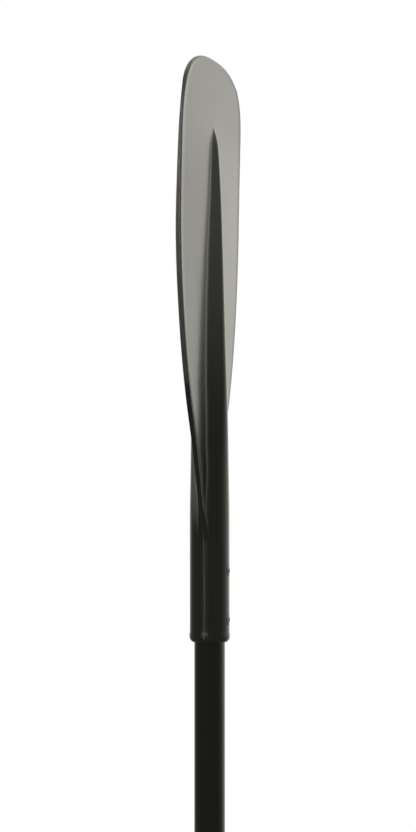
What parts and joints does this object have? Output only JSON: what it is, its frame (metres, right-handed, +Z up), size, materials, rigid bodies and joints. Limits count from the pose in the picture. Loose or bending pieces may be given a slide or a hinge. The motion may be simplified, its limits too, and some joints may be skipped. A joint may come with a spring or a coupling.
{
  "type": "stand-up paddleboard paddle",
  "caption": "Adjustable stand-up paddleboard paddle: teardrop nylon blade with a tapering spine on both faces, riveted to a tubular shaft with snap-button joint, cam clamp and T-grip.",
  "frame": {"origin": "middle of the T-grip's flat palm pad", "axes": "+Z up the shaft towards the blade's tip, X across the blade, -Y the side that the neck rivets are on"},
  "size_m": [0.2046, 0.053, 1.6484],
  "materials": {
    "blade_nylon": "moulded glass-filled nylon, satin gloss",
    "shaft_tube": "black anodised, gloss",
    "clamp_nylon": "moulded nylon, fine matt",
    "ferrule_nylon": "moulded nylon, matt",
    "rivet_metal": "black painted, satin",
    "stainless_steel": "plain drawn",
    "float_foam": "closed-cell foam",
    "seal_rubber": "plain"
  },
  "bodies": {
    "shaft_and_blade": {"blade": "blade_nylon", "neck_rivet_lower": "rivet_metal", "neck_rivet_upper": "rivet_metal", "neck_rivet_lower_mandrel": "stainless_steel", "neck_rivet_upper_mandrel": "stainless_steel", "blade_shaft": "shaft_tube", "blade_shaft_float": "float_foam", "joint_ferrule": "ferrule_nylon", "ferrule_plug": "seal_rubber", "ferrule_seal_ring": "seal_rubber", "snap_spring": "stainless_steel", "main_shaft": "shaft_tube", "clamp_collar": "clamp_nylon", "lever_pin": "stainless_steel", "clamp_bolt": "stainless_steel", "clamp_nut": "stainless_steel", "cam_washer": "stainless_steel"},
    "grip_section": {"grip_shaft": "shaft_tube", "shaft_guide": "clamp_nylon", "grip_shaft_float": "float_foam", "t_grip": "blade_nylon", "grip_rivet": "rivet_metal", "grip_rivet_mandrel": "stainless_steel"},
    "clamp_lever": {"clamp_lever": "clamp_nylon"},
    "snap_button": {"snap_button": "stainless_steel"}
  },
  "joints": [
    {"name": "grip_extension", "type": "slide", "parent": "shaft_and_blade", "child": "grip_section", "axis": [0, 0, -1], "range_m": [0, 0.45]},
    {"name": "lever_swing", "type": "hinge", "parent": "shaft_and_blade", "child": "clamp_lever", "pos_m": [0.0185, 0.0255, 0.122], "axis": [0, 0, 1], "range_deg": [0, 130]},
    {"name": "button_press", "type": "slide", "parent": "shaft_and_blade", "child": "snap_button", "axis": [0, -1, 0], "range_m": [0, 0.0048], "stiffness_N_per_m": 1200, "springref_m": -0.002, "deforming": ["snap_spring"]}
  ]
}
